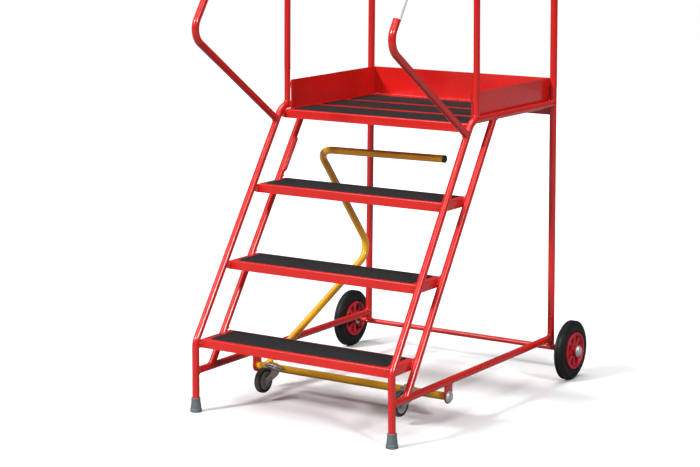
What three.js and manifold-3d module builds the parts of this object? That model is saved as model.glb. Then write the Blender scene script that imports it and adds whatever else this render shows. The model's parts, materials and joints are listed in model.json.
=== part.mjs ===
// Mobile library steps: a welded tube frame with three treads and a guarded platform. It stands on two
// front feet and two rear wheels. A lever under the platform turns a cross bar that lowers two castors.
// Units are millimetres. X runs across the steps, Y from the front foot to the rear wheels, Z up.
import * as THREE from 'three';
import { mergeVertices } from 'three/addons/utils/BufferGeometryUtils.js';
import Module from 'manifold-3d';

const wasm = await Module();
wasm.setup();

const GAP = 0.3;                        // clearance left between pieces that touch

// Tube sizes
const TUBE_R = 12.7;
const POST_R = 11.1;
const TUBE_SIDES = 16;

// Side frames: each stands in a plane that leans in toward the top
const FLOOR_HALF_WIDTH = 401.4;
const LEAN = Math.atan(9.43 / 1000);
const STRINGER_BEND_Z = 247.6;
const STRINGER_RUN = 0.670;             // travel in Y for each millimetre of rise
const STRINGER_SPACING = 156.1;
const BASE_RAIL_Z = 145;
const REAR_Y = 1107.8;
const PLATFORM_RAIL_Z = 1016.5;
const GUARD_POST_Y = 548.6;
const TOP_RAIL_Z = 2000;
const KNEE_RAIL_Z = 1500;

// Treads and platform
const TREAD_Z = 259;                    // top of the first tray
const TREAD_RISE = 249;
const TREAD_COUNT = 3;
const TREAD_SETBACK = 4;                // tray front behind the stringer axis
const TREAD_DEPTH = 170;
const TRAY_HEIGHT = 31;
const SHEET = 2.5;
const PLATFORM_Z = 1005;
const PLATFORM_FRONT_Y = 515;
const PLATFORM_REAR_Y = 1110;
const MAT_DEPTH = 140;
const MAT_HALF_WIDTH = 355;
const MAT_THICKNESS = 2;
const MAT_CORNER = 10;
const TREAD_MAT_MARGIN = 15;
const PLATFORM_MAT_MARGIN = 16;
const PLATFORM_MAT_PITCH = 187;
const TOE_BOARD_TOP_Z = 1108;

// Rear wheels
const WHEEL_R = 110;
const WHEEL_WIDTH = 37;
const WHEEL_X = 481.5;
const RIM_R = 68;
const RIM_HALF_WIDTH = 23;
const BOSS_R = 20;
const BOSS_HALF_LENGTH = 30.5;
const AXLE_R = 10;
const AXLE_Z = WHEEL_R;
const AXLE_HALF_LENGTH = 518;
const AXLE_CAP_R = 20.5;
const AXLE_CAP_END_X = 524;
const WHEEL_SEGMENTS = 40;

// Front feet
const FOOT_R = 21;
const FOOT_HEIGHT = 50;
const FOOT_FLOOR = 6;

// Lever and castor bar
const PIVOT_Y = 362;
const PIVOT_Z = 90;
const BAR_R = 13.45;
const BAR_HALF_LENGTH = 407;
const BRACKET_X = 400;
const BRACKET_R = 24;
const BRACKET_THICKNESS = 5;
const PIVOT_CAP_R = 22;
const LEVER_R = 13.45;
const LEVER_BEND_R = 60;
const LEVER_X = -359.5;
const LEVER_BEND = new THREE.Vector3(LEVER_X, 1056.5, 404.5);
const LEVER_TOP = new THREE.Vector3(LEVER_X, 699.5, 839);
const HANDLE_END = new THREE.Vector3(171, 706.5, 845);
const PLUG_LENGTH = 9;

// Castors, in a frame at the bar that is tilted back about X
const CASTOR_X = 283;
const CASTOR_TILT = THREE.MathUtils.degToRad(28);
const SWIVEL_OFFSET_Y = -68.4;
const SWIVEL_OFFSET_Z = -11.9;
const CASTOR_TRAIL = 35.4;
const CASTOR_DROP = 58.5;
const CASTOR_R = 45;
const CASTOR_TREAD_WIDTH = 23;
const CASTOR_RIM_R = 33;
const CASTOR_HOUSING_R = 32;
const FORK_HALF_GAP = 14.5;
const FORK_SHEET = 2.5;
const FORK_CROWN_R = 29;
const AXLE_BOLT_R = 4;

// The origin of the finished part is the middle of its footprint
const CENTRE_Y = (REAR_Y + WHEEL_R - FOOT_R) / 2;

const MATERIALS = {
  red: { color: 0xd81e14, roughness: 0.25, metalness: 0.1 },
  yellow: { color: 0xe8a010, roughness: 0.3, metalness: 0.1 },
  mat: { color: 0x26272a, roughness: 0.95, metalness: 0 },
  tyre: { color: 0x1b1c1e, roughness: 0.8, metalness: 0 },
  hub: { color: 0xb01228, roughness: 0.4, metalness: 0.1 },
  zinc: { color: 0xb8bcc0, roughness: 0.3, metalness: 0.9 },
  foot: { color: 0x7c8790, roughness: 0.7, metalness: 0 },
  castorTread: { color: 0x5b554e, roughness: 0.75, metalness: 0 },
  castorCore: { color: 0xb9bab8, roughness: 0.5, metalness: 0 },
  plug: { color: 0x151515, roughness: 0.5, metalness: 0 },
  label: { color: 0xf2f2f2, roughness: 0.5, metalness: 0 },
};

const v3 = (x, y, z) => new THREE.Vector3(x, y, z);

// ---------------------------------------------------------------- solids

// Shares the vertices, drops collapsed triangles and turns every face outward.
function tidy(geometry) {
  const bare = geometry.clone();
  bare.deleteAttribute('normal');
  bare.deleteAttribute('uv');
  const merged = mergeVertices(bare, 1e-4);
  const corners = merged.getIndex().array;
  const position = merged.getAttribute('position');
  const a = v3();
  const b = v3();
  const c = v3();
  const kept = [];
  let volume = 0;
  for (let i = 0; i < corners.length; i += 3) {
    const [p, q, r] = corners.slice(i, i + 3);
    if (p !== q && q !== r && r !== p) {
      a.fromBufferAttribute(position, p);
      b.fromBufferAttribute(position, q);
      c.fromBufferAttribute(position, r);
      volume += a.dot(b.clone().cross(c));
      kept.push([p, q, r]);
    }
  }
  const faces = volume < 0 ? kept.map(([p, q, r]) => [p, r, q]) : kept;
  merged.setIndex(faces.flat());
  merged.computeVertexNormals();
  return merged;
}

function toManifold(geometry) {
  const shared = tidy(geometry);
  return new wasm.Manifold(new wasm.Mesh({
    numProp: 3,
    vertProperties: new Float32Array(shared.getAttribute('position').array),
    triVerts: new Uint32Array(shared.getIndex().array),
  }));
}

function fromManifold(manifold) {
  const { vertProperties, triVerts } = manifold.getMesh();
  const geometry = new THREE.BufferGeometry();
  geometry.setAttribute('position', new THREE.Float32BufferAttribute(vertProperties, 3));
  geometry.setIndex([...triVerts]);
  geometry.computeVertexNormals();
  return geometry;
}

function cut(geometry, ...tools) {
  return fromManifold(tools.reduce((whole, tool) => whole.subtract(toManifold(tool)), toManifold(geometry)));
}

function join(geometry, ...others) {
  return fromManifold(others.reduce((whole, other) => whole.add(toManifold(other)), toManifold(geometry)));
}

function box([x0, y0, z0], [x1, y1, z1]) {
  const geometry = new THREE.BoxGeometry(x1 - x0, y1 - y0, z1 - z0);
  geometry.translate((x0 + x1) / 2, (y0 + y1) / 2, (z0 + z1) / 2);
  return geometry;
}

// A round bar between two points.
function rod(start, end, radius, sides = TUBE_SIDES) {
  const run = end.clone().sub(start);
  const geometry = new THREE.CylinderGeometry(radius, radius, run.length(), sides);
  const turn = new THREE.Quaternion().setFromUnitVectors(v3(0, 1, 0), run.clone().normalize());
  geometry.applyQuaternion(turn);
  geometry.translate(...start.clone().add(end).multiplyScalar(0.5).toArray());
  return geometry;
}

// The room that a tube needs where another tube is notched around it.
function saddle(start, end, radius = TUBE_R) {
  return rod(start, end, (radius + GAP) / Math.cos(Math.PI / TUBE_SIDES));
}

// A route of straight runs joined by round bends, with a section at both ends of each run
// and at equal steps round each bend.
class BentRoute extends THREE.Curve {
  constructor(corners, bendRadius, stepsPerBend = 5) {
    super();
    this.points = [corners[0]];
    this.tangents = [corners[1].clone().sub(corners[0]).normalize()];
    for (let i = 1; i < corners.length - 1; i += 1) {
      this.addBend(corners[i - 1], corners[i], corners[i + 1], bendRadius, stepsPerBend);
    }
    const last = corners.length - 1;
    this.points.push(corners[last]);
    this.tangents.push(corners[last].clone().sub(corners[last - 1]).normalize());
  }

  addBend(before, corner, after, radius, steps) {
    const into = corner.clone().sub(before).normalize();
    const out = after.clone().sub(corner).normalize();
    const angle = into.angleTo(out);
    const side = out.clone().addScaledVector(into, -into.dot(out)).normalize();
    const start = corner.clone().addScaledVector(into, -radius * Math.tan(angle / 2));
    for (let k = 0; k <= steps; k += 1) {
      const a = angle * k / steps;
      const point = start.clone().addScaledVector(into, radius * Math.sin(a));
      this.points.push(point.addScaledVector(side, radius * (1 - Math.cos(a))));
      this.tangents.push(into.clone().multiplyScalar(Math.cos(a)).addScaledVector(side, Math.sin(a)));
    }
  }

  get steps() {
    return this.points.length - 1;
  }

  getPointAt(u) {
    return this.points[Math.round(u * this.steps)].clone();
  }

  getTangentAt(u) {
    return this.tangents[Math.round(u * this.steps)].clone();
  }
}

function circle(radius, sides = TUBE_SIDES) {
  const points = [];
  for (let k = 0; k < sides; k += 1) {
    const a = 2 * Math.PI * k / sides;
    points.push(new THREE.Vector2(radius * Math.cos(a), radius * Math.sin(a)));
  }
  return new THREE.Shape(points);
}

function bentTube(corners, bendRadius, radius = TUBE_R) {
  const route = new BentRoute(corners, bendRadius);
  return new THREE.ExtrudeGeometry(circle(radius), { steps: route.steps, extrudePath: route });
}

// A turned solid about the X axis: each profile point is [radius, x].
function turnedAboutX(profile, segments) {
  const points = profile.map(([radius, x]) => new THREE.Vector2(radius, x));
  return new THREE.LatheGeometry(points, segments).rotateZ(-Math.PI / 2);
}

// A turned solid about the Z axis: each profile point is [radius, z].
function turnedAboutZ(profile, segments) {
  const points = profile.map(([radius, z]) => new THREE.Vector2(radius, z));
  return new THREE.LatheGeometry(points, segments).rotateX(Math.PI / 2);
}

// A plate whose outline is drawn in Y and Z, centred on X = 0.
function plateAcrossX(outline, thickness, curveSegments = 8) {
  const geometry = new THREE.ExtrudeGeometry(outline, { depth: thickness, bevelEnabled: false, curveSegments });
  geometry.translate(0, 0, -thickness / 2);
  geometry.applyMatrix4(new THREE.Matrix4().makeBasis(v3(0, 1, 0), v3(0, 0, 1), v3(1, 0, 0)));
  return geometry;
}

// ---------------------------------------------------------------- the scene graph

const part = new THREE.Group();
part.position.set(0, -CENTRE_Y, 0);

const materials = Object.fromEntries(
  Object.entries(MATERIALS).map(([name, values]) => [name, new THREE.MeshStandardMaterial(values)]),
);

function place(parent, name, geometry, material) {
  const mesh = new THREE.Mesh(tidy(geometry), materials[material].clone());
  mesh.name = name;
  parent.add(mesh);
  return mesh;
}

const SIDES = [{ name: 'left', sign: -1 }, { name: 'right', sign: 1 }];

const halfWidthAt = (z) => FLOOR_HALF_WIDTH - z * Math.tan(LEAN);
const stringerY = (z) => STRINGER_RUN * (z - STRINGER_BEND_Z);

// ---------------------------------------------------------------- side frames, in their own plane

const STRINGER_BEND_R = 60;
const PLATFORM_BEND_R = 58;
const HANDRAIL_BEND_R = 60;
const HANDRAIL_START_Z = 970;
const HANDRAIL_CORNER = v3(0, -12.5, 1309.5);
const HANDRAIL_TOP_Y = 450.5;

const FRONT_LEG_BOTTOM = v3(0, 0, FOOT_FLOOR + GAP);
const FRONT_BEND = v3(0, 0, STRINGER_BEND_Z);
const PLATFORM_CORNER = v3(0, stringerY(PLATFORM_RAIL_Z), PLATFORM_RAIL_Z);
const POST_TOP = v3(0, REAR_Y, TOP_RAIL_Z + TUBE_R);
const HANDRAIL_TOP = v3(0, HANDRAIL_TOP_Y, TOP_RAIL_Z);

const rearPostRoom = () => saddle(v3(0, REAR_Y, 0), v3(0, REAR_Y, TOP_RAIL_Z + 100));
const platformRailRoom = () => saddle(v3(0, 0, PLATFORM_RAIL_Z), v3(0, REAR_Y, PLATFORM_RAIL_Z));

function frontStringer() {
  const route = [FRONT_LEG_BOTTOM, FRONT_BEND, PLATFORM_CORNER, v3(0, REAR_Y, PLATFORM_RAIL_Z)];
  return cut(bentTube(route, STRINGER_BEND_R), rearPostRoom());
}

function rearStringer() {
  const bottom = v3(0, stringerY(BASE_RAIL_Z) + STRINGER_SPACING, BASE_RAIL_Z);
  const top = v3(0, stringerY(PLATFORM_RAIL_Z) + STRINGER_SPACING, PLATFORM_RAIL_Z);
  const baseRailRoom = saddle(v3(0, -100, BASE_RAIL_Z), v3(0, REAR_Y, BASE_RAIL_Z));
  return cut(rod(bottom, top, TUBE_R), baseRailRoom, platformRailRoom());
}

function baseRail() {
  const frontLegRoom = saddle(v3(0, 0, 0), v3(0, 0, STRINGER_BEND_Z));
  return cut(rod(v3(0, 0, BASE_RAIL_Z), v3(0, REAR_Y, BASE_RAIL_Z), TUBE_R), frontLegRoom, rearPostRoom());
}

function rearPost() {
  const axleRoom = saddle(v3(-50, REAR_Y, AXLE_Z), v3(50, REAR_Y, AXLE_Z), AXLE_R + GAP);
  return cut(rod(v3(0, REAR_Y, AXLE_Z), POST_TOP, TUBE_R), axleRoom);
}

function guardPost() {
  const post = rod(v3(0, GUARD_POST_Y, PLATFORM_RAIL_Z), v3(0, GUARD_POST_Y, TOP_RAIL_Z), POST_R);
  const topRailRoom = saddle(HANDRAIL_TOP, v3(0, REAR_Y, TOP_RAIL_Z));
  return cut(post, platformRailRoom(), topRailRoom);
}

function handrail() {
  const start = v3(0, stringerY(HANDRAIL_START_Z), HANDRAIL_START_Z);
  const route = [start, HANDRAIL_CORNER, HANDRAIL_TOP, v3(0, REAR_Y, TOP_RAIL_Z)];
  const tube = bentTube(route, HANDRAIL_BEND_R);
  const stringerRoom = saddle(FRONT_BEND, v3(0, stringerY(PLATFORM_RAIL_Z + 60), PLATFORM_RAIL_Z + 60));
  return cut(tube, stringerRoom, rearPostRoom());
}

function kneeRail() {
  const rail = rod(v3(0, GUARD_POST_Y, KNEE_RAIL_Z), v3(0, REAR_Y, KNEE_RAIL_Z), POST_R);
  const guardPostRoom = saddle(v3(0, GUARD_POST_Y, 0), v3(0, GUARD_POST_Y, TOP_RAIL_Z), POST_R);
  return cut(rail, guardPostRoom, rearPostRoom());
}

function sideFrame({ name, sign }) {
  const frame = new THREE.Group();
  frame.position.x = sign * FLOOR_HALF_WIDTH;
  frame.rotation.y = -sign * LEAN;
  place(frame, `front_stringer_${name}`, frontStringer(), 'red');
  place(frame, `rear_stringer_${name}`, rearStringer(), 'red');
  place(frame, `base_rail_${name}`, baseRail(), 'red');
  place(frame, `rear_post_${name}`, rearPost(), 'red');
  place(frame, `guard_post_${name}`, guardPost(), 'red');
  place(frame, `handrail_${name}`, handrail(), 'red');
  place(frame, `knee_rail_${name}`, kneeRail(), 'red');
  return frame;
}

// A blank paper sleeve round the upper run of the right handrail.
const LABEL_START = 95;                 // from the handrail corner, along the run
const LABEL_LENGTH = 160;
const LABEL_THICKNESS = 0.5;

function handrailLabel() {
  const along = HANDRAIL_TOP.clone().sub(HANDRAIL_CORNER).normalize();
  const start = HANDRAIL_CORNER.clone().addScaledVector(along, LABEL_START);
  const end = start.clone().addScaledVector(along, LABEL_LENGTH);
  const inner = (TUBE_R + GAP) / Math.cos(Math.PI / TUBE_SIDES);
  const past = along.clone().multiplyScalar(5);
  const hole = rod(start.clone().sub(past), end.clone().add(past), inner);
  return cut(rod(start, end, inner + LABEL_THICKNESS), hole);
}

// A rubber ferrule pushed on the leg, standing flat on the floor.
function foot() {
  const bore = 13.5;
  return turnedAboutZ([
    [0, 0], [FOOT_R - 1, 0], [FOOT_R, 1], [FOOT_R, 5], [FOOT_R - 2.5, 8], [FOOT_R - 3, 13],
    [16.8, 20], [16.2, FOOT_HEIGHT - 1], [15.6, FOOT_HEIGHT], [bore, FOOT_HEIGHT], [bore, FOOT_FLOOR],
    [0, FOOT_FLOOR],
  ], 32);
}

// ---------------------------------------------------------------- treads, platform and rear rails

// A folded sheet tray, open underneath.
function tray(halfWidth, frontY, rearY, topZ) {
  const outside = box([-halfWidth, frontY, topZ - TRAY_HEIGHT], [halfWidth, rearY, topZ]);
  const hollow = box(
    [-halfWidth + SHEET, frontY + SHEET, topZ - TRAY_HEIGHT - 5],
    [halfWidth - SHEET, rearY - SHEET, topZ - SHEET],
  );
  return cut(outside, hollow);
}

const trayHalfWidth = (topZ) => halfWidthAt(topZ) - TUBE_R - 2 * GAP;

function mat(frontY, topZ) {
  const outline = new THREE.Shape();
  const x = MAT_HALF_WIDTH;
  const r = MAT_CORNER;
  const rearY = frontY + MAT_DEPTH;
  outline.moveTo(-x + r, frontY);
  outline.lineTo(x - r, frontY);
  outline.absarc(x - r, frontY + r, r, -Math.PI / 2, 0);
  outline.lineTo(x, rearY - r);
  outline.absarc(x - r, rearY - r, r, 0, Math.PI / 2);
  outline.lineTo(-x + r, rearY);
  outline.absarc(-x + r, rearY - r, r, Math.PI / 2, Math.PI);
  outline.lineTo(-x, frontY + r);
  outline.absarc(-x + r, frontY + r, r, Math.PI, 1.5 * Math.PI);
  const settings = { depth: MAT_THICKNESS, bevelEnabled: false, curveSegments: 6 };
  return new THREE.ExtrudeGeometry(outline, settings).translate(0, 0, topZ + GAP);
}

function addTreads() {
  for (let i = 0; i < TREAD_COUNT; i += 1) {
    const topZ = TREAD_Z + i * TREAD_RISE;
    const frontY = stringerY(topZ) + TREAD_SETBACK;
    place(part, `tread_tray_${i + 1}`, tray(trayHalfWidth(topZ), frontY, frontY + TREAD_DEPTH, topZ), 'red');
    place(part, `tread_mat_${i + 1}`, mat(frontY + TREAD_MAT_MARGIN, topZ), 'mat');
  }
}

// A sheet between the side rails, folded down at its front and rear edges only.
function platformSheet() {
  const x = trayHalfWidth(PLATFORM_Z);
  const bottom = PLATFORM_Z - TRAY_HEIGHT;
  const outside = box([-x, PLATFORM_FRONT_Y, bottom], [x, PLATFORM_REAR_Y, PLATFORM_Z]);
  const hollow = box(
    [-x - 5, PLATFORM_FRONT_Y + SHEET, bottom - 5],
    [x + 5, PLATFORM_REAR_Y - SHEET, PLATFORM_Z - SHEET],
  );
  return cut(outside, hollow);
}

function addPlatform() {
  place(part, 'platform_tray', platformSheet(), 'red');
  for (let i = 0; i < 3; i += 1) {
    const frontY = PLATFORM_FRONT_Y + PLATFORM_MAT_MARGIN + i * PLATFORM_MAT_PITCH;
    place(part, `platform_mat_${i + 1}`, mat(frontY, PLATFORM_Z), 'mat');
  }
}

// One sheet folded round three sides of the platform.
function toeBoard() {
  const x = trayHalfWidth(TOE_BOARD_TOP_Z);
  const frontY = GUARD_POST_Y;
  const bottom = PLATFORM_Z + GAP;
  const outside = box([-x, frontY, bottom], [x, PLATFORM_REAR_Y, TOE_BOARD_TOP_Z]);
  const inside = box([-x + SHEET, frontY - 5, bottom - 5], [x - SHEET, PLATFORM_REAR_Y - SHEET, TOE_BOARD_TOP_Z + 5]);
  return cut(outside, inside);
}

// A rail across the back, cut square where it meets the posts.
function rearRail(z, radius) {
  const reach = halfWidthAt(z + radius) - TUBE_R - GAP;
  return rod(v3(-reach, REAR_Y, z), v3(reach, REAR_Y, z), radius);
}

// ---------------------------------------------------------------- rear wheels

function tyre() {
  const w = WHEEL_WIDTH / 2;
  return turnedAboutX([
    [RIM_R + GAP, -w + 4], [RIM_R + 8, -w + 1], [94, -w], [103, -w + 4], [108, -w + 11],
    [WHEEL_R, -w + 16], [WHEEL_R, w - 16], [108, w - 11], [103, w - 4], [94, w], [RIM_R + 8, w - 1],
    [RIM_R + GAP, w - 4], [RIM_R + GAP, -w + 4],
  ], WHEEL_SEGMENTS);
}

function wheelHub() {
  const rim = RIM_HALF_WIDTH;
  const boss = BOSS_HALF_LENGTH;
  const bore = AXLE_R + 2 * GAP;
  const web = 6;
  return turnedAboutX([
    [bore, -boss], [BOSS_R, -boss], [BOSS_R, -web], [RIM_R - 7, -web], [RIM_R - 5, -rim], [RIM_R, -rim],
    [RIM_R, rim], [RIM_R - 5, rim], [RIM_R - 7, web], [BOSS_R, web], [BOSS_R, boss], [bore, boss],
    [bore, -boss],
  ], WHEEL_SEGMENTS);
}

// A domed cap pushed on the end of the axle, drawn for the right side.
function axleCap() {
  const start = WHEEL_X + BOSS_HALF_LENGTH + 2 * GAP;
  const bore = AXLE_R + 2 * GAP;
  const end = AXLE_CAP_END_X;
  return turnedAboutX([
    [bore, start], [AXLE_CAP_R, start], [AXLE_CAP_R, start + 3], [18, end - 3.2], [12, end - 0.9], [0, end],
    [0, AXLE_HALF_LENGTH + GAP], [bore, AXLE_HALF_LENGTH + GAP], [bore, start],
  ], 24);
}

function addRearWheels() {
  const axle = rod(v3(-AXLE_HALF_LENGTH, REAR_Y, AXLE_Z), v3(AXLE_HALF_LENGTH, REAR_Y, AXLE_Z), AXLE_R);
  place(part, 'rear_cross_tube', axle, 'red');
  for (const { name, sign } of SIDES) {
    const wheel = new THREE.Group();
    wheel.position.set(sign * WHEEL_X, REAR_Y, AXLE_Z);
    place(wheel, `wheel_tyre_${name}`, tyre(), 'tyre');
    place(wheel, `wheel_hub_${name}`, wheelHub(), 'hub');
    part.add(wheel);
    const cap = axleCap();
    const turned = sign > 0 ? cap : cap.rotateZ(Math.PI);
    place(part, `axle_cap_${name}`, turned.translate(0, REAR_Y, AXLE_Z), 'zinc');
  }
}

// ---------------------------------------------------------------- lever and castor bar

// A plate hung under the base rail, with the hole that the castor bar turns in.
function leverBracket() {
  const top = BASE_RAIL_Z - TUBE_R - GAP - PIVOT_Z;
  const outline = new THREE.Shape();
  outline.moveTo(BRACKET_R, 0);
  outline.lineTo(BRACKET_R, top);
  outline.lineTo(-BRACKET_R, top);
  outline.lineTo(-BRACKET_R, 0);
  outline.absarc(0, 0, BRACKET_R, Math.PI, 2 * Math.PI);
  outline.holes.push(new THREE.Path().absarc(0, 0, BAR_R + 2 * GAP, 0, 2 * Math.PI, true));
  return plateAcrossX(outline, BRACKET_THICKNESS, 12).translate(0, PIVOT_Y, PIVOT_Z);
}

// A domed cap over each end of the bar, drawn for the right side.
function pivotCap() {
  const start = BRACKET_X + BRACKET_THICKNESS / 2 + 2 * GAP;
  const bore = BAR_R + GAP;
  const end = BAR_HALF_LENGTH + 5;
  return turnedAboutX([
    [bore, start], [PIVOT_CAP_R, start], [PIVOT_CAP_R, start + 2], [17, end - 1.6], [9, end - 0.3], [0, end],
    [0, BAR_HALF_LENGTH + GAP], [bore, BAR_HALF_LENGTH + GAP], [bore, start],
  ], 24);
}

const barRoom = () => saddle(v3(-500, PIVOT_Y, PIVOT_Z), v3(500, PIVOT_Y, PIVOT_Z), BAR_R);

function leverTube() {
  const start = v3(LEVER_X, PIVOT_Y, PIVOT_Z);
  return cut(bentTube([start, LEVER_BEND, LEVER_TOP, HANDLE_END], LEVER_BEND_R, LEVER_R), barRoom());
}

function leverPlug() {
  const along = HANDLE_END.clone().sub(LEVER_TOP).normalize();
  const start = HANDLE_END.clone().addScaledVector(along, GAP);
  return rod(start, start.clone().addScaledVector(along, PLUG_LENGTH), LEVER_R + 0.6);
}

// A flat strip welded along the inner face of the left rear stringer, where the lever passes.
const CATCH_BOTTOM_Z = 785;
const CATCH_TOP_Z = 892;
const CATCH_WIDTH = 14;
const CATCH_THICKNESS = 4.5;

function leverCatch() {
  const bottomY = stringerY(CATCH_BOTTOM_Z) + STRINGER_SPACING;
  const topY = stringerY(CATCH_TOP_Z) + STRINGER_SPACING;
  const length = Math.hypot(topY - bottomY, CATCH_TOP_Z - CATCH_BOTTOM_Z);
  const strip = new THREE.BoxGeometry(CATCH_THICKNESS, CATCH_WIDTH, length);
  strip.rotateX(-Math.atan(STRINGER_RUN));
  const inner = TUBE_R + GAP + CATCH_THICKNESS / 2;
  return strip.translate(inner, (topY + bottomY) / 2, (CATCH_TOP_Z + CATCH_BOTTOM_Z) / 2);
}

function addLever() {
  for (const { name, sign } of SIDES) {
    place(part, `lever_bracket_${name}`, leverBracket().translate(sign * BRACKET_X, 0, 0), 'red');
    const cap = sign > 0 ? pivotCap() : pivotCap().rotateZ(Math.PI);
    place(part, `pivot_cap_${name}`, cap.translate(0, PIVOT_Y, PIVOT_Z), 'zinc');
  }
  const bar = rod(v3(-BAR_HALF_LENGTH, PIVOT_Y, PIVOT_Z), v3(BAR_HALF_LENGTH, PIVOT_Y, PIVOT_Z), BAR_R);
  place(part, 'castor_bar', bar, 'yellow');
  place(part, 'lever_tube', leverTube(), 'yellow');
  place(part, 'lever_end_plug', leverPlug(), 'plug');
}

// ---------------------------------------------------------------- castors, in the tilted frame

const PLATE_TOP = 3;
const PLATE_THICKNESS = 5;
const PLATE_HALF_WIDTH = 20;
const PLATE_BOTTOM = PLATE_TOP - PLATE_THICKNESS;

// The arm that carries the castor, welded to the front of the bar.
function castorPlate() {
  const outline = new THREE.Shape();
  outline.moveTo(-PLATE_HALF_WIDTH, 0);
  outline.lineTo(-PLATE_HALF_WIDTH, SWIVEL_OFFSET_Y);
  outline.absarc(0, SWIVEL_OFFSET_Y, PLATE_HALF_WIDTH, Math.PI, 2 * Math.PI);
  outline.lineTo(PLATE_HALF_WIDTH, 0);
  const settings = { depth: PLATE_THICKNESS, bevelEnabled: false, curveSegments: 12 };
  const plate = new THREE.ExtrudeGeometry(outline, settings).translate(0, 0, PLATE_BOTTOM);
  return cut(plate, saddle(v3(-50, 0, 0), v3(50, 0, 0), BAR_R));
}

function castorNut() {
  const nut = new THREE.CylinderGeometry(10.5, 10.5, 9, 6).rotateX(Math.PI / 2);
  return nut.translate(0, SWIVEL_OFFSET_Y, PLATE_TOP + GAP + 4.5);
}

// The fixed upper race of the swivel, bolted under the plate.
function castorHousing() {
  const top = PLATE_BOTTOM - GAP;
  const bottom = SWIVEL_OFFSET_Z - 2;
  return turnedAboutZ([
    [0, bottom], [CASTOR_HOUSING_R - 1.5, bottom], [CASTOR_HOUSING_R, bottom + 2], [CASTOR_HOUSING_R, top - 5],
    [CASTOR_HOUSING_R - 5, top - 1], [12, top], [0, top],
  ], 24).translate(0, SWIVEL_OFFSET_Y, 0);
}

// The turning fork, drawn about the swivel axis with the wheel trailing to the front.
function castorFork() {
  const crownTop = -2 - 2 * GAP;
  const crownBottom = -11;
  const crown = turnedAboutZ([
    [0, crownBottom], [FORK_CROWN_R - 3, crownBottom], [FORK_CROWN_R, crownBottom + 3],
    [FORK_CROWN_R, crownTop], [0, crownTop],
  ], 24);
  const axleY = -CASTOR_TRAIL;
  const axleZ = -CASTOR_DROP;
  const outline = new THREE.Shape();
  outline.moveTo(22, crownTop - 1);
  outline.lineTo(-12, crownTop - 1);
  outline.lineTo(-28, -30);
  outline.lineTo(axleY - 11.6, axleZ + 3);
  outline.absarc(axleY, axleZ, 12, Math.PI * 0.92, 1.75 * Math.PI);
  outline.lineTo(21, -20);
  outline.closePath();
  outline.holes.push(new THREE.Path().absarc(axleY, axleZ, AXLE_BOLT_R + GAP, 0, 2 * Math.PI, true));
  const legs = [-1, 1].map((sign) => plateAcrossX(outline, FORK_SHEET, 6)
    .translate(sign * (FORK_HALF_GAP + FORK_SHEET / 2), 0, 0));
  return join(crown, ...legs);
}

// An axle bolt with a head outside each fork leg.
function castorAxle() {
  const outer = FORK_HALF_GAP + FORK_SHEET + GAP;
  const head = outer + 4;
  return turnedAboutX([
    [0, -head], [7.5, -head], [7.5, -outer], [AXLE_BOLT_R, -outer], [AXLE_BOLT_R, outer], [7.5, outer],
    [7.5, head], [0, head],
  ], 16);
}

function castorTyre() {
  const w = CASTOR_TREAD_WIDTH / 2;
  return turnedAboutX([
    [CASTOR_RIM_R + GAP, -w], [CASTOR_R - 3, -w], [CASTOR_R, -w + 4], [CASTOR_R, w - 4], [CASTOR_R - 3, w],
    [CASTOR_RIM_R + GAP, w], [CASTOR_RIM_R + GAP, -w],
  ], 32);
}

function castorCore() {
  const w = CASTOR_TREAD_WIDTH / 2;
  const bore = AXLE_BOLT_R + GAP * 2;
  return turnedAboutX([
    [bore, -w - 2], [10, -w - 2], [10, -5], [CASTOR_RIM_R - 5, -5], [CASTOR_RIM_R - 4, -w + 1],
    [CASTOR_RIM_R, -w + 1], [CASTOR_RIM_R, w - 1], [CASTOR_RIM_R - 4, w - 1], [CASTOR_RIM_R - 5, 5], [10, 5],
    [10, w + 2], [bore, w + 2], [bore, -w - 2],
  ], 32);
}

function castor({ name, sign }) {
  const arm = new THREE.Group();
  arm.position.set(sign * CASTOR_X, PIVOT_Y, PIVOT_Z);
  arm.rotation.x = -CASTOR_TILT;
  place(arm, `castor_plate_${name}`, castorPlate(), 'yellow');
  place(arm, `castor_nut_${name}`, castorNut(), 'zinc');
  place(arm, `castor_housing_${name}`, castorHousing(), 'zinc');

  const swivel = new THREE.Group();
  swivel.position.set(0, SWIVEL_OFFSET_Y, SWIVEL_OFFSET_Z);
  place(swivel, `castor_fork_${name}`, castorFork(), 'zinc');
  arm.add(swivel);

  const wheel = new THREE.Group();
  wheel.position.set(0, -CASTOR_TRAIL, -CASTOR_DROP);
  place(wheel, `castor_axle_${name}`, castorAxle(), 'zinc');
  place(wheel, `castor_tyre_${name}`, castorTyre(), 'castorTread');
  place(wheel, `castor_core_${name}`, castorCore(), 'castorCore');
  swivel.add(wheel);
  return arm;
}

// ---------------------------------------------------------------- assembly

for (const side of SIDES) {
  const frame = sideFrame(side);
  if (side.name === 'right') {
    place(frame, 'handrail_label', handrailLabel(), 'label');
  } else {
    place(frame, 'lever_catch', leverCatch(), 'red');
  }
  part.add(frame);
  place(part, `foot_${side.name}`, foot().translate(side.sign * FLOOR_HALF_WIDTH, 0, 0), 'foot');
  part.add(castor(side));
}
addTreads();
addPlatform();
place(part, 'toe_board', toeBoard(), 'red');
place(part, 'rear_top_rail', rearRail(TOP_RAIL_Z, TUBE_R), 'red');
place(part, 'rear_knee_rail', rearRail(KNEE_RAIL_Z, POST_R), 'red');
addRearWheels();
addLever();

export default part;
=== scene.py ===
"""Looks of the mobile library steps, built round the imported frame. Lengths are in metres."""

import json
import math
import random

import bmesh
import bpy
from mathutils import Matrix, Vector


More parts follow.
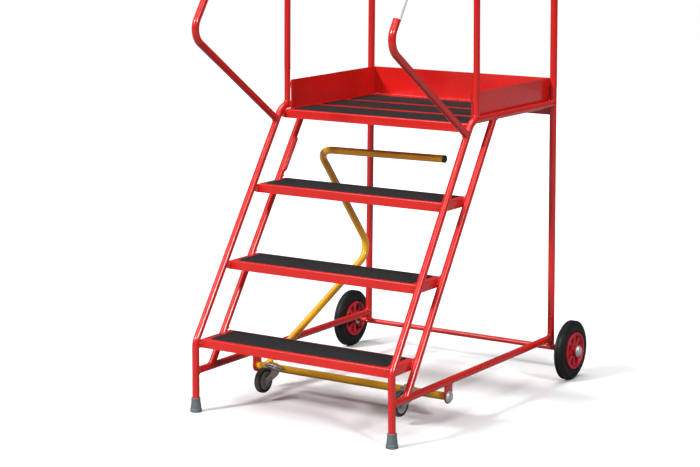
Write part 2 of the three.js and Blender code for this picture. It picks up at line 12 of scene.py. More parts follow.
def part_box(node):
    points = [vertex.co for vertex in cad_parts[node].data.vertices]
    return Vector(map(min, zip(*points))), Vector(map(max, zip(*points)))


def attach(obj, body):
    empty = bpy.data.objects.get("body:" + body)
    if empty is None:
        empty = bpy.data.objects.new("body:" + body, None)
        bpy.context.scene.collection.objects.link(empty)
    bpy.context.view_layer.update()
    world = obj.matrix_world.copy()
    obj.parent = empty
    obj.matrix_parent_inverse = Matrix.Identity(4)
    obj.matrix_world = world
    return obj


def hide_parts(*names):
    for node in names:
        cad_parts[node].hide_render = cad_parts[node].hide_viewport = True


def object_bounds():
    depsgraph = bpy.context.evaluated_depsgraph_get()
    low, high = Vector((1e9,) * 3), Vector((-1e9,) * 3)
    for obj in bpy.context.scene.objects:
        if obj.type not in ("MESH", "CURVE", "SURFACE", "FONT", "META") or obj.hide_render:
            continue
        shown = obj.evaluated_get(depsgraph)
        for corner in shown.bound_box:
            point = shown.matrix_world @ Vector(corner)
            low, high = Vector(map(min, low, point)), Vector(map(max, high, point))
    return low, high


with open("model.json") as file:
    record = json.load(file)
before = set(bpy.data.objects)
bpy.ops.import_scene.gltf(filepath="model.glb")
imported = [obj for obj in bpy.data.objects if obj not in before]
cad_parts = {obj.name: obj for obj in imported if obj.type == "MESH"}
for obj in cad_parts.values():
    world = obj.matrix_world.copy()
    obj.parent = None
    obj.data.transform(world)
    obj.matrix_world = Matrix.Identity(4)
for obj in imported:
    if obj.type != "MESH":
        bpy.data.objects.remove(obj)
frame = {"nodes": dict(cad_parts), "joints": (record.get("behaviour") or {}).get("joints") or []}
cad_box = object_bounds()
scene = bpy.context.scene
dice = random.Random(7)

# ------------------------------------------------------------------ camera, floor and light

CAMERA_PLACE = Vector((3.736, -5.936, 1.890))
CAMERA_YAW = math.radians(33.24)
CAMERA_DOWN = math.radians(10.61)
CAMERA_LENS = 103.1
SENSOR_WIDTH = 36.0


def add_camera():
    data = bpy.data.cameras.new("camera")
    data.sensor_width = SENSOR_WIDTH
    data.lens = CAMERA_LENS
    data.clip_end = 100
    camera = bpy.data.objects.new("camera", data)
    camera.location = CAMERA_PLACE
    camera.rotation_euler = (math.pi / 2 - CAMERA_DOWN, 0, CAMERA_YAW)
    scene.collection.objects.link(camera)
    scene.camera = camera


def add_sun(name, towards, strength, spread):
    """Light from very far away, so that the whole floor is lit evenly."""
    data = bpy.data.lights.new(name, "SUN")
    data.energy = strength
    data.angle = math.radians(spread)
    light = bpy.data.objects.new(name, data)
    light.rotation_euler = Vector(towards).to_track_quat("-Z", "Y").to_euler()
    scene.collection.objects.link(light)


def add_lights():
    add_sun("key", (0.37, 0.73, -0.57), 3.0, 9)
    add_sun("side", (-0.78, 0.38, -0.50), 1.5, 9)
    add_sun("overhead", (0.05, 0.12, -1), 2.6, 60)


def add_world():
    """White as the camera sees it, and a dim grey room for the light and the reflections."""
    world = bpy.data.worlds.new("studio")
    world.use_nodes = True
    nodes = world.node_tree.nodes
    links = world.node_tree.links
    nodes.clear()
    seen = nodes.new("ShaderNodeBackground")
    seen.inputs["Color"].default_value = (1, 1, 1, 1)
    lit = nodes.new("ShaderNodeBackground")
    lit.inputs["Color"].default_value = (0.93, 0.96, 1.0, 1)
    lit.inputs["Strength"].default_value = 0.10
    ray = nodes.new("ShaderNodeLightPath")
    mix = nodes.new("ShaderNodeMixShader")
    output = nodes.new("ShaderNodeOutputWorld")
    links.new(ray.outputs["Is Camera Ray"], mix.inputs[0])
    links.new(lit.outputs[0], mix.inputs[1])
    links.new(seen.outputs[0], mix.inputs[2])
    links.new(mix.outputs[0], output.inputs["Surface"])
    scene.world = world


# ------------------------------------------------------------------ materials


class Shader:
    """A Principled material whose colour, roughness and bump come from procedural nodes."""

    def __init__(self, name, **values):
        self.material = bpy.data.materials.new(name)
        self.material.use_nodes = True
        self.nodes = self.material.node_tree.nodes
        self.links = self.material.node_tree.links
        self.surface = self.nodes["Principled BSDF"]
        for socket, value in values.items():
            self.surface.inputs[socket.replace("_", " ")].default_value = value
        self.place = self.nodes.new("ShaderNodeTexCoord").outputs["Object"]

    def noise(self, scale, detail=2.0, rough=0.5):
        node = self.nodes.new("ShaderNodeTexNoise")
        node.inputs["Scale"].default_value = scale
        node.inputs["Detail"].default_value = detail
        node.inputs["Roughness"].default_value = rough
        self.links.new(self.place, node.inputs["Vector"])
        return node.outputs["Fac"]

    def cells(self, scale):
        node = self.nodes.new("ShaderNodeTexVoronoi")
        node.inputs["Scale"].default_value = scale
        self.links.new(self.place, node.inputs["Vector"])
        return node.outputs["Color"]

    def ramp(self, source, *stops):
        node = self.nodes.new("ShaderNodeValToRGB")
        elements = node.color_ramp.elements
        for _ in stops[2:]:
            elements.new(0.5)
        for element, (at, colour) in zip(elements, stops):
            element.position = at
            element.color = (*colour, 1)
        self.links.new(source, node.inputs["Fac"])
        return node.outputs["Color"]

    def mix(self, kind, amount, first, second):
        node = self.nodes.new("ShaderNodeMix")
        node.data_type = "RGBA"
        node.blend_type = kind
        node.inputs["Factor"].default_value = amount
        self.links.new(first, node.inputs["A"])
        self.links.new(second, node.inputs["B"])
        return node.outputs["Result"]

    def colour(self, source):
        self.links.new(source, self.surface.inputs["Base Color"])

    def roughness(self, source, low, high):
        node = self.nodes.new("ShaderNodeMapRange")
        node.inputs["From Min"].default_value = 0.3
        node.inputs["From Max"].default_value = 0.7
        node.inputs["To Min"].default_value = low
        node.inputs["To Max"].default_value = high
        self.links.new(source, node.inputs["Value"])
        self.links.new(node.outputs["Result"], self.surface.inputs["Roughness"])

    def bump(self, source, strength, distance):
        node = self.nodes.new("ShaderNodeBump")
        node.inputs["Strength"].default_value = strength
        node.inputs["Distance"].default_value = distance
        self.links.new(source, node.inputs["Height"])
        before = self.surface.inputs["Normal"].links
        if before:
            self.links.new(before[0].from_socket, node.inputs["Normal"])
        self.links.new(node.outputs["Normal"], self.surface.inputs["Normal"])


def shades(colour, *factors):
    return [tuple(min(1, c * k) for c in colour) for k in factors]


def powder_coat(name, colour):
    """Glossy powder coat: a faint cloudiness, orange peel and a clear, slightly uneven shine."""
    shader = Shader(name, Coat_Weight=0.5, Coat_Roughness=0.05, IOR=1.5)
    low, high = shades(colour, 0.95, 1.03)
    cloud = shader.noise(9, 4)
    shader.colour(shader.ramp(cloud, (0.3, low), (0.7, high)))
    shader.roughness(shader.noise(45, 3), 0.20, 0.28)
    shader.bump(shader.noise(420, 2), 0.05, 0.0004)
    return shader.material


def grit_mat():
    """Black sheet faced with silica grit: dark grains, a few paler ones and a broken surface."""
    shader = Shader("grit_mat", Specular_IOR_Level=0.22)
    grains = shader.ramp(shader.cells(620), (0.25, (0.005, 0.005, 0.006)), (0.75, (0.024, 0.025, 0.026)))
    patches = shader.ramp(shader.noise(160, 3), (0.35, (0.55, 0.55, 0.57)), (0.65, (1.0, 1.0, 1.0)))
    shader.colour(shader.mix("MULTIPLY", 1.0, grains, patches))
    shader.roughness(shader.noise(300, 2), 0.62, 0.92)
    shader.bump(shader.noise(900, 3, 0.7), 0.8, 0.0012)
    return shader.material


def rubber(name, colour, grain=380, dusty=0.25):
    """Moulded rubber: a fine skin with a little dust in the texture."""
    shader = Shader(name, Specular_IOR_Level=0.3)
    dust = tuple(c + dusty * 0.12 for c in colour)
    shader.colour(shader.ramp(shader.noise(28, 5, 0.65), (0.42, colour), (0.78, dust)))
    shader.roughness(shader.noise(70, 3), 0.42, 0.68)
    shader.bump(shader.noise(grain, 3), 0.22, 0.0006)
    return shader.material


def moulded_plastic(name, colour, low=0.25, high=0.42):
    """Injection moulded plastic: even colour, slight flow marks and a soft shine."""
    shader = Shader(name)
    dark, light = shades(colour, 0.85, 1.12)
    shader.colour(shader.ramp(shader.noise(22, 4), (0.35, dark), (0.7, light)))
    shader.roughness(shader.noise(60, 2), low, high)
    shader.bump(shader.noise(300, 2), 0.08, 0.0005)
    return shader.material


def bright_zinc():
    """Zinc plated steel: clouded bright metal with fine scratches."""
    shader = Shader("bright_zinc", Metallic=0.7)
    shader.colour(shader.ramp(shader.noise(75, 5), (0.3, (0.55, 0.56, 0.57)), (0.7, (0.80, 0.80, 0.79))))
    shader.roughness(shader.noise(140, 3), 0.28, 0.48)
    shader.bump(shader.noise(240, 3), 0.08, 0.0005)
    return shader.material


def pale_floor():
    """Near white as the camera sees it, and dimmer in the reflections of the glossy paint."""
    shader = Shader("pale_floor", Roughness=0.9)
    shader.colour(shader.ramp(shader.noise(1.5, 2), (0.3, (0.92, 0.92, 0.92)), (0.7, (0.95, 0.95, 0.95))))
    dim = shader.nodes.new("ShaderNodeBsdfDiffuse")
    dim.inputs["Color"].default_value = (0.24, 0.24, 0.24, 1)
    ray = shader.nodes.new("ShaderNodeLightPath")
    mix = shader.nodes.new("ShaderNodeMixShader")
    shader.links.new(ray.outputs["Is Camera Ray"], mix.inputs[0])
    shader.links.new(dim.outputs[0], mix.inputs[1])
    shader.links.new(shader.surface.outputs[0], mix.inputs[2])
    shader.links.new(mix.outputs[0], shader.nodes["Material Output"].inputs["Surface"])
    return shader.material


RED = powder_coat("red_enamel", (0.60, 0.012, 0.009))
YELLOW = powder_coat("yellow_enamel", (0.86, 0.41, 0.010))
MAT = grit_mat()
TYRE = rubber("black_tyre", (0.004, 0.005, 0.006), dusty=0.05)
HUB = moulded_plastic("crimson_plastic", (0.48, 0.008, 0.025))
FOOT = rubber("grey_rubber", (0.105, 0.135, 0.145), dusty=0.4)
CASTOR_TREAD = rubber("castor_tread", (0.085, 0.078, 0.068), 520, 0.4)
CASTOR_SIDE = rubber("castor_side", (0.012, 0.012, 0.013), 520)
CASTOR_CORE = moulded_plastic("grey_plastic", (0.42, 0.42, 0.41), 0.35, 0.55)
PLUG = moulded_plastic("black_plastic", (0.010, 0.010, 0.011), 0.35, 0.6)
LABEL = moulded_plastic("label_film", (0.86, 0.86, 0.85), 0.2, 0.35)
ZINC = bright_zinc()


# ------------------------------------------------------------------ mesh building


class Shells:
    """Vertices and faces of one piece, which may hold several closed shells."""

    def __init__(self):
        self.vertices = []
        self.faces = []

    def add(self, vertices, faces):
        first = len(self.vertices)
        self.vertices += [Vector(v) for v in vertices]
        self.faces += [tuple(first + i for i in face) for face in faces]
        return self

    def rings(self, rings, closed=False):
        """Joins rings of equally many points. Open stacks get a lid at each end."""
        sides = len(rings[0])
        count = len(rings)
        faces = []
        for k in range(count if closed else count - 1):
            a, b = k * sides, (k + 1) % count * sides
            for i in range(sides):
                j = (i + 1) % sides
                faces.append((a + i, a + j, b + j, b + i))
        if not closed:
            faces.append(tuple(range(sides))[::-1])
            faces.append(tuple((count - 1) * sides + i for i in range(sides)))
        return self.add([p for ring in rings for p in ring], faces)

    def piece(self, name, material, smooth=40):
        mesh = bpy.data.meshes.new(name)
        mesh.from_pydata(self.vertices, [], self.faces)
        obj = bpy.data.objects.new(name, mesh)
        scene.collection.objects.link(obj)
        mesh.materials.append(material)
        face_outward(mesh)
        shade(obj, smooth)
        return obj


def face_outward(mesh):
    bm = bmesh.new()
    bm.from_mesh(mesh)
    bmesh.ops.remove_doubles(bm, verts=bm.verts, dist=1e-7)
    bmesh.ops.recalc_face_normals(bm, faces=bm.faces)
    bm.to_mesh(mesh)
    bm.free()


def shade(obj, degrees):
    obj.data.polygons.foreach_set("use_smooth", [True] * len(obj.data.polygons))
    obj.data.set_sharp_from_angle(angle=math.radians(degrees))


def apply_modifiers(obj):
    depsgraph = bpy.context.evaluated_depsgraph_get()
    mesh = bpy.data.meshes.new_from_object(obj.evaluated_get(depsgraph))
    obj.modifiers.clear()
    old, obj.data = obj.data, mesh
    mesh.name = obj.name
    bpy.data.meshes.remove(old)


def bevel(obj, width, segments=2, degrees=35):
    modifier = obj.modifiers.new("bevel", "BEVEL")
    modifier.width = width
    modifier.segments = segments
    modifier.limit_method = "ANGLE"
    modifier.angle_limit = math.radians(degrees)
    apply_modifiers(obj)


def settle(obj, body, slot, *nodes):
    """Puts a finished piece on its CAD body, in place of the CAD nodes that it stands for."""
    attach(obj, body)
    if nodes:
        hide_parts(*nodes)
    return obj


def circle(centre, across, up, radius, sides):
    turns = [2 * math.pi * k / sides for k in range(sides)]
    return [centre + radius * (math.cos(a) * across + math.sin(a) * up) for a in turns]


def frames_along(points, closed=False):
    """A pair of unit vectors across the path at each point, turned as little as possible."""
    count = len(points)
    tangents = []
    for k in range(count):
        before = points[k - 1] if k or closed else points[0]
        after = points[(k + 1) % count] if k < count - 1 or closed else points[-1]
        tangents.append((after - before).normalized())
    across = tangents[0].orthogonal().normalized()
    pairs = []
    for tangent in tangents:
        across = (across - tangent * across.dot(tangent)).normalized()
        pairs.append((across.copy(), tangent.cross(across)))
    return pairs


def tube_rings(points, radius, sides=40):
    return [circle(p, a, b, radius, sides) for p, (a, b) in zip(points, frames_along(points))]


def bent(corners, radius, steps=14):
    """The points of a route of straight runs with round bends."""
    points = [corners[0]]
    for before, corner, after in zip(corners, corners[1:], corners[2:]):
        into = (corner - before).normalized()
        out = (after - corner).normalized()
        angle = into.angle(out)
        side = (out - into * into.dot(out)).normalized()
        start = corner - into * radius * math.tan(angle / 2)
        for k in range(steps + 1):
            a = angle * k / steps
            points.append(start + into * radius * math.sin(a) + side * radius * (1 - math.cos(a)))
    return points + [corners[-1]]


def softened(profile, radius=0.0006, steps=3):
    """A profile whose inner corners are rounded off."""
    points = [Vector(profile[0])]
    for before, corner, after in zip(profile, profile[1:], profile[2:]):
        before, corner, after = Vector(before), Vector(corner), Vector(after)
        into, out = corner - before, after - corner
        reach = min(radius, into.length * 0.45, out.length * 0.45)
        start = corner - into.normalized() * reach
        end = corner + out.normalized() * reach
        for k in range(steps + 1):
            t = k / steps
            points.append(start * (1 - t) ** 2 + corner * 2 * t * (1 - t) + end * t * t)
    return points + [Vector(profile[-1])]


def lathe_rings(profile, centre, axis, segments=64):
    """Turned shape: profile points are (radius, height along the axis from the centre)."""
    axis = Vector(axis).normalized()
    across = axis.orthogonal().normalized()
    up = axis.cross(across)
    return [circle(centre + axis * h, across, up, max(r, 1e-5), segments) for r, h in profile]


def lathed(name, profile, centre, axis, material, segments=64, closed=False, soft=0.0006):
    outline = softened([*profile, profile[0]] if closed else profile, soft)
    if closed:
        outline = outline[:-1]
    return Shells().rings(lathe_rings(outline, centre, axis, segments), closed).piece(name, material)


def subtract(obj, cutter):
    modifier = obj.modifiers.new("cut", "BOOLEAN")
    modifier.operation = "DIFFERENCE"
    modifier.solver = "EXACT"
    modifier.object = cutter
    apply_modifiers(obj)
    bpy.data.objects.remove(cutter)


# ------------------------------------------------------------------ welds

BEAD_R = 0.0023
RIPPLE = 0.0036                 # length of one ripple along a bead
BEAD_SIDES = 10


def bead(shells, points, closed=False, radius=BEAD_R):
    """Adds a rippled weld bead along a path of evenly spaced points."""
    walked = 0.0
    rings = []
    phase = dice.uniform(0, math.tau)
    for k, (point, (a, b)) in enumerate(zip(points, frames_along(points, closed))):
        if k:
            walked += (point - points[k - 1]).length
        ripple = 0.13 * math.sin(math.tau * walked / RIPPLE + phase) + dice.uniform(-0.05, 0.05)
        end = 0 if closed else min(k, len(points) - 1 - k)
        taper = 1 if closed else min(1, 0.35 + 0.3 * end)
        rings.append(circle(point, a, b, radius * taper * (1 + ripple), BEAD_SIDES))
    shells.rings(rings, closed)


def straight_bead(shells, start, end, radius=BEAD_R):
    steps = max(4, int((end - start).length / 0.0011))
    points = [start.lerp(end, k / steps) for k in range(steps + 1)]
    wobble = [Vector([dice.uniform(-1, 1) for _ in range(3)]) * 0.00018 for _ in points]
    bead(shells, [p + w for p, w in zip(points, wobble)], radius=radius)


def joint_bead(shells, start, end, radius, other_start, other_end, other_radius, size=BEAD_R):
    """Adds the bead round a tube that runs from start and butts on another tube near end."""
    run = (end - start).normalized()
    axis = (other_end - other_start).normalized()
    across = run.orthogonal().normalized()
    up = run.cross(across)
    run_off = run - axis * run.dot(axis)
    count = max(24, int(math.tau * radius / 0.0011))
    points = []
    for k in range(count):
        a = math.tau * k / count
        outward = math.cos(a) * across + math.sin(a) * up
        edge = start + outward * radius
        off = edge - other_start
        off -= axis * off.dot(axis)
        b = off.dot(run_off)
        c = off.length_squared - (other_radius + size * 0.3) ** 2
        square = max(0, b * b - run_off.length_squared * c)
        t = (-b - math.sqrt(square)) / run_off.length_squared
        points.append(edge + run * t + outward * size * 0.3)
    bead(shells, points, closed=True, radius=size)


# ------------------------------------------------------------------ measures from the frame


def box_centre(node):
    low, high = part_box(node)
    return (low + high) / 2


def box_size(node):
    low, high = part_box(node)
    return high - low


SIDES = {"left": -1, "right": 1}
LEAN = 0.00943                  # each side frame leans in this much for each unit of height
FRONT_Y = box_centre("foot_right").y
FOOT_X = box_centre("foot_right").x
TUBE_R = box_size("base_rail_right").z / 2
POST_R = box_size("knee_rail_right").z / 2
BASE_RAIL_Z = box_centre("base_rail_right").z
REAR_Y = box_centre("wheel_tyre_right").y
PLATFORM_RAIL_Z = 1.0165
STRINGER_BEND_Z = 0.2476
STRINGER_RUN = 0.670
STRINGER_SPACING = 0.1561
GUARD_POST_Y = FRONT_Y + 0.5486
TOP_RAIL_Z = box_centre("rear_top_rail").z
KNEE_RAIL_Z = box_centre("rear_knee_rail").z
HANDRAIL_START_Z = 0.970
HANDRAIL_CORNER = (FRONT_Y - 0.0125, 1.3095)
HANDRAIL_TOP_Y = FRONT_Y + 0.4505
STRINGER_BEND_R = 0.060
HANDRAIL_BEND_R = 0.060
LABEL_START = 0.0955            # from the handrail corner, along the run
LABEL_LENGTH = 0.159
TUCK = 0.004                    # how far a welded tube end runs into its neighbour


def side_point(sign, y, z):
    return Vector((sign * (FOOT_X - LEAN * z), y, z))


def stringer_y(z):
    return FRONT_Y + STRINGER_RUN * (z - STRINGER_BEND_Z)


def short_of(start, end, stand_off):
    """A point on the way from start to end, that far before end."""
    return end - (end - start).normalized() * stand_off


# ------------------------------------------------------------------ the tube frame


def tube(name, corners, radius=None, bend=STRINGER_BEND_R, material=RED, sides=40):
    rings = tube_rings(bent(corners, bend), radius or TUBE_R, sides)
    return Shells().rings(rings).piece(name, material)


def frame_tube(node, corners, radius=None, bend=STRINGER_BEND_R):
    settle(tube(node + "_tube", corners, radius, bend), "frame", "red_enamel", node)


def add_side_frame(name, sign, welds):
    def at(y, z):
        return side_point(sign, y, z)

    leg = [at(FRONT_Y, 0.008), at(FRONT_Y, STRINGER_BEND_Z)]
    corner = at(stringer_y(PLATFORM_RAIL_Z), PLATFORM_RAIL_Z)
    platform_rail = [corner, at(REAR_Y, PLATFORM_RAIL_Z)]
    slope = [leg[1], corner]
    rear_post = [at(REAR_Y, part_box("rear_cross_tube")[1].z - TUCK), at(REAR_Y, TOP_RAIL_Z + TUBE_R)]
    guard_post = [at(GUARD_POST_Y, PLATFORM_RAIL_Z), at(GUARD_POST_Y, TOP_RAIL_Z)]
    base_rail = [at(FRONT_Y, BASE_RAIL_Z), at(REAR_Y, BASE_RAIL_Z)]
    handrail_start = at(stringer_y(HANDRAIL_START_Z), HANDRAIL_START_Z)
    handrail_corner = at(*HANDRAIL_CORNER)
    handrail_top = at(HANDRAIL_TOP_Y, TOP_RAIL_Z)
    top_rail = [handrail_top, at(REAR_Y, TOP_RAIL_Z)]
    knee_rail = [at(GUARD_POST_Y, KNEE_RAIL_Z), at(REAR_Y, KNEE_RAIL_Z)]
    foot_of_stringer = at(stringer_y(BASE_RAIL_Z) + STRINGER_SPACING, BASE_RAIL_Z)
    head_of_stringer = at(stringer_y(PLATFORM_RAIL_Z) + STRINGER_SPACING, PLATFORM_RAIL_Z)

    inset = TUBE_R - TUCK
    rear_end = short_of(corner, platform_rail[1], inset)
    frame_tube(f"front_stringer_{name}", [*leg, corner, rear_end])
    frame_tube(f"rear_stringer_{name}", [
        short_of(head_of_stringer, foot_of_stringer, inset),
        short_of(foot_of_stringer, head_of_stringer, inset),
    ])
    frame_tube(f"base_rail_{name}", [short_of(*base_rail[::-1], inset), short_of(*base_rail, inset)])
    frame_tube(f"rear_post_{name}", rear_post)
    frame_tube(f"guard_post_{name}", [
        short_of(*guard_post[::-1], inset), short_of(*guard_post, inset),
    ], POST_R)
    frame_tube(f"handrail_{name}", [
        short_of(handrail_corner, handrail_start, inset),
        handrail_corner, handrail_top, short_of(*top_rail, inset),
    ], bend=HANDRAIL_BEND_R)
    frame_tube(f"knee_rail_{name}", [
        short_of(*knee_rail[::-1], POST_R - TUCK), short_of(*knee_rail, inset),
    ], POST_R)

    joints = [
        (head_of_stringer, foot_of_stringer, TUBE_R, *base_rail, TUBE_R),
        (foot_of_stringer, head_of_stringer, TUBE_R, *platform_rail, TUBE_R),
        (*base_rail[::-1], TUBE_R, *leg, TUBE_R),
        (*base_rail, TUBE_R, *rear_post, TUBE_R),
        (*platform_rail, TUBE_R, *rear_post, TUBE_R),
        (*guard_post[::-1], POST_R, *platform_rail, TUBE_R),
        (*guard_post, POST_R, *top_rail, TUBE_R),
        (handrail_corner, handrail_start, TUBE_R, *slope, TUBE_R),
        (*top_rail, TUBE_R, *rear_post, TUBE_R),
        (*knee_rail[::-1], POST_R, *guard_post, POST_R),
        (*knee_rail, POST_R, *rear_post, TUBE_R),
    ]
    axle_z = box_centre("rear_cross_tube").z
    axle = [Vector((sign * 0.3, REAR_Y, axle_z)), Vector((sign * 0.5, REAR_Y, axle_z))]
    joints.append((*rear_post[::-1], TUBE_R, *axle, box_size("rear_cross_tube").z / 2))
    for joint in joints:
        joint_bead(welds, *joint)
    for z, radius in ((TOP_RAIL_Z, TUBE_R), (KNEE_RAIL_Z, POST_R)):
        middle = Vector((0, REAR_Y, z))
        joint_bead(welds, middle, at(REAR_Y, z), radius, *rear_post, TUBE_R)


def add_cross_tubes():
    for node, tuck in (("rear_cross_tube", 0), ("rear_top_rail", TUCK), ("rear_knee_rail", TUCK)):
        low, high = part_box(node)
        z = (low.z + high.z) / 2
        ends = [Vector((low.x - tuck, REAR_Y, z)), Vector((high.x + tuck, REAR_Y, z))]
        frame_tube(node, ends, (high.z - low.z) / 2)


def add_post_plugs():
    """Domed plugs in the open tops of the rear posts."""
    for name, sign in SIDES.items():
        top = side_point(sign, REAR_Y, TOP_RAIL_Z + TUBE_R)
        profile = [(0, -0.006), (TUBE_R * 0.8, -0.006), (TUBE_R * 0.8, 0), (TUBE_R * 0.96, 0),
                   (TUBE_R * 0.8, 0.0015), (TUBE_R * 0.45, 0.0026), (0, 0.003)]
        plug = lathed(f"post_plug_{name}", profile, top, (0, 0, 1), PLUG, 40)
        settle(plug, "frame", "black_plastic")


# ------------------------------------------------------------------ sheet work

SHEET = 0.0025
FOLD_R = 0.0035


def tray(name, low, high, side_flanges=True):
    """A folded tray: top plate, turned-down flanges and round folds."""
    centre = (low + high) / 2
    size = high - low
    bm = bmesh.new()
    bmesh.ops.create_cube(bm, size=1, matrix=Matrix.Translation(centre) @ Matrix.Diagonal((*size, 1)))
    open_faces = [f for f in bm.faces if f.normal.z < -0.5 or (abs(f.normal.x) > 0.5 and not side_flanges)]
    bmesh.ops.delete(bm, geom=open_faces, context="FACES")
    folds = [e for e in bm.edges if not e.is_boundary and is_level(e)]
    bmesh.ops.bevel(bm, geom=folds, offset=FOLD_R, segments=5, profile=0.5, affect="EDGES")
    corners = [e for e in bm.edges if not e.is_boundary and not is_level(e) and e.calc_length() > size.z / 2]
    bmesh.ops.bevel(bm, geom=corners, offset=0.0015, segments=3, profile=0.5, affect="EDGES")
    mesh = bpy.data.meshes.new(name)
    bm.to_mesh(mesh)
    bm.free()
    obj = bpy.data.objects.new(name, mesh)
    scene.collection.objects.link(obj)
    mesh.materials.append(RED)
    thicken(obj, SHEET)
    return obj


def is_level(edge):
    return abs(edge.verts[0].co.z - edge.verts[1].co.z) < 1e-6


def thicken(obj, thickness):
    modifier = obj.modifiers.new("sheet", "SOLIDIFY")
    modifier.thickness = thickness
    modifier.offset = -1
    modifier.use_even_offset = True
    apply_modifiers(obj)
    shade(obj, 40)


def add_tray(node, welds):
    low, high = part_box(node)
    platform = node == "platform_tray"
    settle(tray(node + "_sheet", low, high, not platform), "frame", "red_enamel", node)
    for sign in SIDES.values():
        front_axis = [side_point(sign, FRONT_Y, 0), side_point(sign, FRONT_Y, STRINGER_BEND_Z)]
        slope_axis = [front_axis[1], side_point(sign, stringer_y(PLATFORM_RAIL_Z), PLATFORM_RAIL_Z)]
        corner_weld(welds, sign, low, high, front_axis, slope_axis)
        if platform:
            edge_stitches(welds, sign, low, high)
        else:
            rear_weld(welds, sign, low, high)


def nearest_on(segment, point):
    start, end = segment
    run = end - start
    t = min(1, max(0, (point - start).dot(run) / run.length_squared))
    return start + run * t


def corner_weld(welds, sign, low, high, *segments):
    """Beads laid one below another across the gap from a tray's front edge to the stringer."""
    passes = 13
    for k in range(passes):
        z = high.z - 0.0022 - (high.z - low.z - 0.0035) * k / (passes - 1)
        edge = Vector((sign * (high.x - 0.0012), low.y + 0.0004, z))
        axis = min((nearest_on(segment, edge) for segment in segments), key=lambda p: (p - edge).length)
        off = edge - axis
        landing = axis + off.normalized() * (TUBE_R - 0.0006) - Vector((0, 0, 0.0012))
        reach = (landing - edge).length
        steps = max(3, int(reach / 0.0014))
        points = [edge.lerp(landing, i / steps) for i in range(steps + 1)]
        bead(welds, points, radius=0.0017 + dice.uniform(0, 0.0004))


def rear_weld(welds, sign, low, high):
    """A bead on each side of the rear stringer, up the tray's end flange."""
    along = Vector((0, STRINGER_RUN, 1)).normalized()
    across = Vector((0, 1, -STRINGER_RUN)).normalized()
    for side in (-1, 1):
        points = [Vector((0, stringer_y(z) + STRINGER_SPACING, z)) for z in (low.z + 0.002, high.z - 0.001)]
        points = [p + across * side * 0.0068 + Vector((sign * (high.x + 0.0010), 0, 0)) for p in points]
        straight_bead(welds, *points, 0.0021)
        if side < 0:
            crown = points[1] + along * 0.003 + Vector((0, 0, 0.0010))
            straight_bead(welds, crown, crown + Vector((0, 0.020, 0)), 0.0023)


def edge_stitches(welds, sign, low, high):
    """Short stitches between the platform sheet and the side rail above its edge."""
    for k in range(6):
        y = low.y + 0.045 + k * 0.096
        start = Vector((sign * (high.x + 0.0006), y, high.z - 0.0012))
        straight_bead(welds, start, start + Vector((0, 0.026, 0)), 0.0020)


def mat(node):
    """A gritted strip with round corners and a softened edge."""
    low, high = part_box(node)
    corner = 0.010
    outline = []
    for quarter, (cx, cy) in enumerate(((high.x - corner, high.y - corner), (low.x + corner, high.y - corner),
                                        (low.x + corner, low.y + corner), (high.x - corner, low.y + corner))):
        for k in range(9):
            a = math.pi / 2 * (quarter + k / 8)
            outline.append((cx + corner * math.cos(a), cy + corner * math.sin(a)))
    bottom = low.z - 0.0003
    edge = 0.0007
    middle = Vector(((low.x + high.x) / 2, (low.y + high.y) / 2))
    rings = []
    for z, inset in ((bottom, 0), (high.z - edge, 0), (high.z - edge * 0.3, edge * 0.3), (high.z, edge)):
        ring = []
        for x, y in outline:
            away = Vector((x, y)) - middle
            ring.append(Vector((x - math.copysign(inset, away.x), y - math.copysign(inset, away.y), z)))
        rings.append(ring)
    piece = Shells().rings(rings).piece(node + "_grit", MAT)
    settle(piece, "frame", "grit_mat", node)


def add_toe_board(welds):
    """One sheet folded round three sides, with a narrow return at each front end."""
    low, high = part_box("toe_board")
    lip = 0.0065
    corners = [Vector((x, y, 0)) for x, y in (
        (low.x + lip, low.y), (low.x, low.y), (low.x, high.y), (high.x, high.y), (high.x, low.y),
        (high.x - lip, low.y),
    )]
    bend_steps = 6
    points = bent(corners, 0.003, bend_steps)
    rows = [low.z - 0.0003, low.z + 0.004, high.z - 0.0012, high.z]
    vertices = [Vector((p.x, p.y, z)) for z in rows for p in points]
    count = len(points)
    faces = [(k * count + i, (k + 1) * count + i, (k + 1) * count + i + 1, k * count + i + 1)
             for k in range(len(rows) - 1) for i in range(count - 1)]
    board = Shells().add(vertices, faces).piece("toe_board_sheet", RED)
    left_side = bend_steps + 1
    if board.data.polygons[left_side].normal.x > 0:
        board.data.flip_normals()
    thicken(board, SHEET)
    settle(board, "frame", "red_enamel", "toe_board")
    for sign in SIDES.values():
        for first, last in ((low.z + 0.003, low.z + 0.026), (high.z - 0.030, high.z - 0.003)):
            x = sign * (high.x + 0.0014)
            front = Vector((x, low.y - 0.0004, first))
            straight_bead(welds, front, front + Vector((0, 0, last - first)), 0.0026)
            inner = Vector((sign * (high.x - lip), low.y - 0.0008, first))
            straight_bead(welds, inner, inner + Vector((0, 0, last - first)), 0.0018)
            rear = Vector((sign * (high.x + 0.0012), REAR_Y - 0.0078, first))
            straight_bead(welds, rear, rear + Vector((0, 0, last - first)), 0.0024)


def add_label():
    """A blank white sleeve on the right handrail."""
    corner = side_point(1, *HANDRAIL_CORNER)
    along = (side_point(1, HANDRAIL_TOP_Y, TOP_RAIL_Z) - corner).normalized()
    first = corner + along * LABEL_START
    points = [first + along * LABEL_LENGTH * k / 12 for k in range(13)]
    label = Shells().rings(tube_rings(points, TUBE_R + 0.0005, 48)).piece("handrail_label_film", LABEL)
    settle(label, "frame", "label_film", "handrail_label")


# ------------------------------------------------------------------ feet


